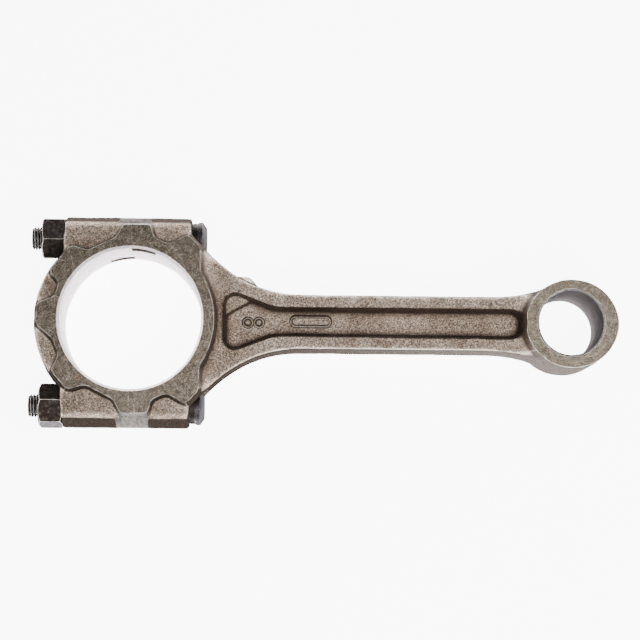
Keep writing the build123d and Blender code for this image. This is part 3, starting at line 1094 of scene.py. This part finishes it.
def bolt_look():
    """A black-oxide bolt: black in its thread with a painted highlight on the crests, painted shadow on
    the head near its seat and satin grey on the head's end.
    """
    n, cloud = oxide("black_oxide_bolt", (0.42, 0.56))
    along = n.at("X")

    # Painted shadow: the head is dark near its seat, and the satin part of the head starts on a slant,
    # further along on the bolt's inner side
    lean = 0.25
    slant = n.sum(along, n.size(n.at("Y")), lean)
    start = HEAD_SEAT_X + 2.7 + lean * BOLT_Y
    outer = n.span(slant, (start - 0.3) * MM, (start + 0.3) * MM)
    satin = n.ramp(cloud, (0.30, (0.026, 0.023, 0.026)), (0.70, (0.054, 0.049, 0.054)))

    # A painted highlight on the thread's crests towards its end; elsewhere the shank and thread are
    # black
    crest = n.span(n.bolt_radius(), (THREAD_ROOT_R + 0.32) * MM, THREAD_R * MM)
    crest_highlight = n.times(crest, n.span(along, -16.0 * MM, -18.0 * MM))
    shank = n.mix(crest_highlight, (0.005, 0.004, 0.004), (0.30, 0.27, 0.25))
    in_head = n.span(along, HEAD_SEAT_X * MM, (HEAD_SEAT_X + 0.5) * MM)
    top = n.mix(outer, n.mix(in_head, shank, (0.020, 0.017, 0.017)), satin)

    # The sides are not metal: dark in the painted shadow, and grey beyond it as a painted reflection
    side = n.span(n.upward(), 0.35, 0.72, 1.0, 0.0)
    grey = n.ramp(cloud, (0.30, (0.036, 0.033, 0.036)), (0.70, (0.078, 0.072, 0.078)))
    flank = n.mix(outer, (0.010, 0.009, 0.009), grey)
    edge = n.times(n.edges(0.08), n.patchy(0.25))
    return rubbed_and_highlit(n, edge, side, top, flank, (0.80, 0.75, 0.73))


def floor_look():
    """The pale sheet under the rod."""
    n = Nodes("pale_floor", Roughness=0.9, Emission_Color=(1, 1, 1, 1), Emission_Strength=8.0)
    n.colour(n.ramp(n.noise(14, 2, 0.5), (0.3, (0.86, 0.86, 0.855)), (0.7, (0.885, 0.885, 0.88))))
    return n.material


# How the noise is squeezed for tool marks that run round a bore or its chamfer, or up a milled face
ROUND = (0.3, 0.3, 4.0)
CHAMFER = (1.0, 1.0, 3.0)
UPRIGHT = (1.0, 1.0, 0.3)
looks = {
    "forged": forged_look(),
    "ground": ground_look(),
    "honed": cut_look("honed_bore", (0.62, 0.565, 0.59), (0.36, 0.325, 0.34), 0.30, ROUND, 0.2),
    "reamed": cut_look("reamed_bore", (0.130, 0.116, 0.119), (0.055, 0.048, 0.050), 0.50, ROUND, 0.0),
    "edge": cut_look("bore_edge", (0.80, 0.77, 0.76), (0.48, 0.46, 0.45), 0.26, CHAMFER, 1.0),
    "joint": cut_look("joint_face", (0.130, 0.120, 0.112), (0.050, 0.045, 0.041), 0.40, UPRIGHT, 0.0),
    "pad": cut_look("milled_pad", (0.150, 0.136, 0.126), (0.034, 0.029, 0.025), 0.45, UPRIGHT, 0.0),
    "milled": cut_look("milled_cut", (0.105, 0.092, 0.081), (0.022, 0.018, 0.015), 0.50, UPRIGHT, 0.0),
}
nut_oxide = nut_look()
bolt_oxide = bolt_look()


# ---------------------------------------------------------------- the pieces


def finished(obj, name, body, node):
    """Name a piece, smooth its curved stretches and give it its place in the frame."""
    drop_specks(obj)
    obj.name = name
    obj.data.name = name
    for polygon in obj.data.polygons:
        polygon.use_smooth = True
    obj.data.set_sharp_from_angle(angle=math.radians(32))
    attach(obj, body)
    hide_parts(node)


finished(make_rod(looks), "rod_forging_skin", "rod", "rod_forging")
finished(make_cap(looks), "bearing_cap_skin", "cap", "bearing_cap")
for side, label in ((1, "upper"), (-1, "lower")):
    bolt = make_bolt(side, bolt_oxide)
    finished(bolt, f"bolt_{label}_threaded", "rod", f"bolt_{label}")
    nut = make_nut(side, NUT_TURNS[side], nut_oxide)
    finished(nut, f"nut_{label}_hex", f"{label}_nut", f"nut_{label}")


# ---------------------------------------------------------------- floor, light and camera


def soft_light(name, place, target, size, power, colour):
    """A large soft light aimed at a point, sizes in metres and power in watts."""
    light = bpy.data.lights.new(name, "AREA")
    light.shape = "RECTANGLE"
    light.size, light.size_y = size
    light.energy = power
    light.color = colour
    lamp = bpy.data.objects.new(name, light)
    bpy.context.scene.collection.objects.link(lamp)
    lamp.location = place
    lamp.rotation_euler = (Vector(target) - Vector(place)).to_track_quat("-Z", "Y").to_euler()


def light_the_scene():
    """Pale surroundings, and one broad soft light overhead on the camera's side."""
    world = bpy.data.worlds.new("studio")
    world.use_nodes = True
    background = world.node_tree.nodes["Background"]
    background.inputs["Color"].default_value = (1.0, 1.0, 1.0, 1)
    background.inputs["Strength"].default_value = 0.4
    bpy.context.scene.world = world
    soft_light("key", (0.30, -0.29, 0.72), (0.20, -0.17, 0), (0.7, 0.6), 14.0, (1.0, 0.985, 0.97))


def lay_floor():
    """The floor the rod lies on."""
    half = 2500
    outline = rounded(rectangle(-half, -half, half, half), [120] * 4, 12)
    top = cad_bounds[0][2] / MM
    sheet = prism("floor", outline, [(top - 4, 0), (top, 0)], floor_look())


def place_camera():
    """The camera, looking almost straight down at the rod."""
    place = Vector((45.5, -84.0, 692.3)) * MM
    target = Vector((64.77, 1.68, 0)) * MM
    back = (place - target).normalized()
    right = Vector((0, 1, 0)).cross(back).normalized()
    roll = Matrix.Rotation(math.radians(0.45), 3, "Z")
    turned = Matrix((right, back.cross(right), back)).transposed() @ roll
    data = bpy.data.cameras.new("camera")
    data.lens = 113.5
    data.sensor_width = 36
    data.clip_start = 0.05
    camera = bpy.data.objects.new("camera", data)
    camera.matrix_world = Matrix.Translation(place) @ turned.to_4x4()
    bpy.context.scene.collection.objects.link(camera)
    bpy.context.scene.camera = camera


light_the_scene()
lay_floor()
place_camera()
